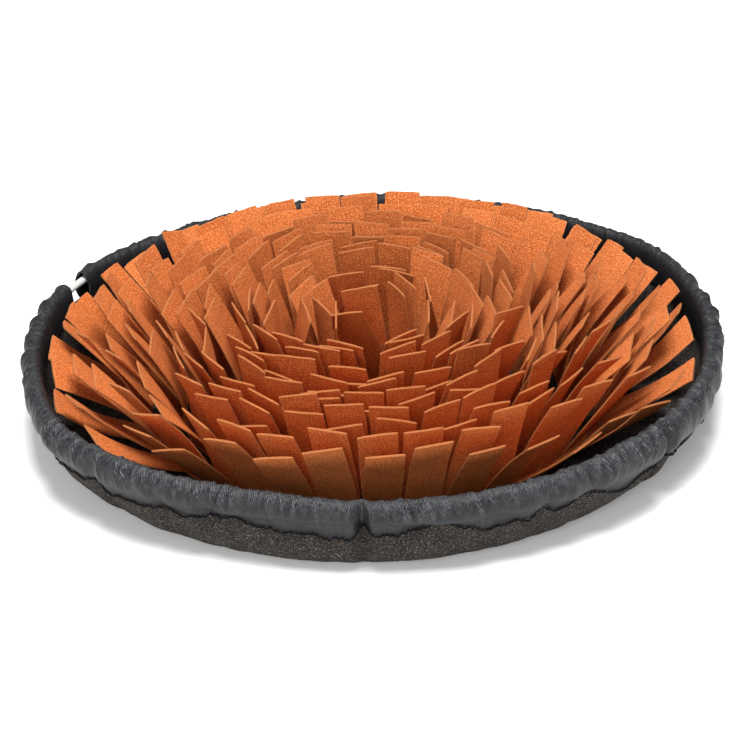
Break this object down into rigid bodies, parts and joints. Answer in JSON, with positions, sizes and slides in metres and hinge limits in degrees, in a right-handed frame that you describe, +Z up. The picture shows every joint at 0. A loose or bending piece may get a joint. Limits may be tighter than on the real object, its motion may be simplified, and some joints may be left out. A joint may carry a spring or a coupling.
{
  "type": "snuffle mat",
  "caption": "Round felt snuffle mat drawn up into a shallow bowl by a gathered rim, with rings of standing felt strips that hide dry pet food.",
  "frame": {"origin": "middle of the flat underside, on the surface that the mat lies on", "axes": "+Z up out of the bowl, +Y from the picture's viewer towards the back, +X to the picture's right"},
  "size_m": [0.4343, 0.4341, 0.0812],
  "materials": {
    "base_felt": "matte heathered needle felt",
    "rim_casing": "satin woven nylon, finely gathered",
    "drawcord": "matte braided elastic",
    "strips": "matte felt with cut edges"
  },
  "bodies": {
    "root": {"base_felt": "base_felt", "rim_casing": "rim_casing", "drawcord": "drawcord", "strip_row_1": "strips", "strip_row_2": "strips", "strip_row_3": "strips", "strip_row_4": "strips", "strip_row_5": "strips", "strip_row_6": "strips"}
  },
  "joints": []
}
